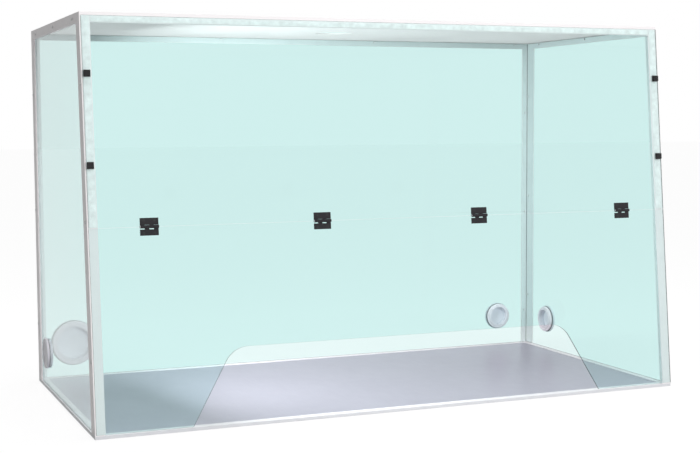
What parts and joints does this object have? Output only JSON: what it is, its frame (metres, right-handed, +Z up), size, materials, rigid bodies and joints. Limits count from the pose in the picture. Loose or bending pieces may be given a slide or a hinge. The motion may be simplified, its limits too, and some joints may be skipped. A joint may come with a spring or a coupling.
{
  "type": "benchtop fume hood",
  "caption": "Clear-walled benchtop fume hood: white angle frame, leaning front, hinged sash with a flared arm opening, capped wall ports and a white top with a round exhaust hole.",
  "frame": {"origin": "centre of the base's underside", "axes": "+X to the right seen from the front, +Y to the back, +Z up; the leaning front faces -Y"},
  "size_m": [1.225, 0.6107, 0.758],
  "materials": {
    "frame_white": "white powder coat, satin",
    "base_white": "white sheet, satin",
    "floor_gray": "light gray smooth liner",
    "panel_clear": "clear acrylic with a faint teal tint",
    "top_opal": "white translucent sheet, satin",
    "tape_white": "white foam tape",
    "hinge_black": "black moulded",
    "pin_steel": "steel pin",
    "screw_black": "black oxide",
    "bumper_black": "soft black rubber",
    "screw_white": "white painted heads",
    "gasket_gray": "rubber gasket",
    "cap_white": "moulded translucent white",
    "port_white": "moulded off-white"
  },
  "bodies": {
    "root": {"base_plate": "base_white", "front_base_bar": "base_white", "back_base_bar": "base_white", "left_base_bar": "base_white", "right_base_bar": "base_white", "floor_liner": "floor_gray", "front_left_post": "frame_white", "front_right_post": "frame_white", "back_left_post": "frame_white", "back_right_post": "frame_white", "front_top_rail": "frame_white", "back_top_rail": "frame_white", "left_top_rail": "frame_white", "right_top_rail": "frame_white", "back_panel": "panel_clear", "left_panel": "panel_clear", "right_panel": "panel_clear", "top_panel": "top_opal", "upper_front_panel": "panel_clear", "upper_panel_tape": "tape_white", "hinge_1_upper_leaf": "hinge_black", "hinge_2_upper_leaf": "hinge_black", "hinge_3_upper_leaf": "hinge_black", "hinge_4_upper_leaf": "hinge_black", "hinge_1_pin": "pin_steel", "hinge_2_pin": "pin_steel", "hinge_3_pin": "pin_steel", "hinge_4_pin": "pin_steel", "upper_hinge_screws": "screw_black", "upper_hinge_nuts": "screw_black", "fold_bumpers": "bumper_black", "left_frame_screws": "screw_white", "right_frame_screws": "screw_white", "back_frame_screws": "screw_white", "left_port_bush": "port_white", "right_port_bush": "port_white", "back_port_bush": "port_white", "duct_port_bush": "port_white", "left_port_gasket": "gasket_gray", "right_port_gasket": "gasket_gray", "back_port_gasket": "gasket_gray", "duct_port_gasket": "gasket_gray", "left_port_ring": "port_white", "right_port_ring": "port_white", "back_port_ring": "port_white", "duct_port_ring": "port_white"},
    "sash": {"lower_sash": "panel_clear", "lower_hinge_screws": "screw_black", "lower_hinge_nuts": "screw_black", "hinge_1_lower_leaf": "hinge_black", "hinge_2_lower_leaf": "hinge_black", "hinge_3_lower_leaf": "hinge_black", "hinge_4_lower_leaf": "hinge_black"},
    "left_port_cap": {"left_port_cap": "cap_white"},
    "right_port_cap": {"right_port_cap": "cap_white"},
    "back_port_cap": {"back_port_cap": "cap_white"},
    "duct_port_cap": {"duct_port_cap": "cap_white"}
  },
  "joints": [
    {"name": "sash_hinge", "type": "hinge", "parent": "root", "child": "sash", "pos_m": [0, -0.27473, 0.37367], "axis": [-1, 0, 0], "range_deg": [0, 180]},
    {"name": "left_cap_pull", "type": "slide", "parent": "root", "child": "left_port_cap", "axis": [-1, 0, 0], "range_m": [0, 0.04]},
    {"name": "right_cap_pull", "type": "slide", "parent": "root", "child": "right_port_cap", "axis": [1, 0, 0], "range_m": [0, 0.04]},
    {"name": "back_cap_pull", "type": "slide", "parent": "root", "child": "back_port_cap", "axis": [0, 1, 0], "range_m": [0, 0.04]},
    {"name": "duct_cap_pull", "type": "slide", "parent": "root", "child": "duct_port_cap", "axis": [0, 1, 0], "range_m": [0, 0.04]}
  ]
}
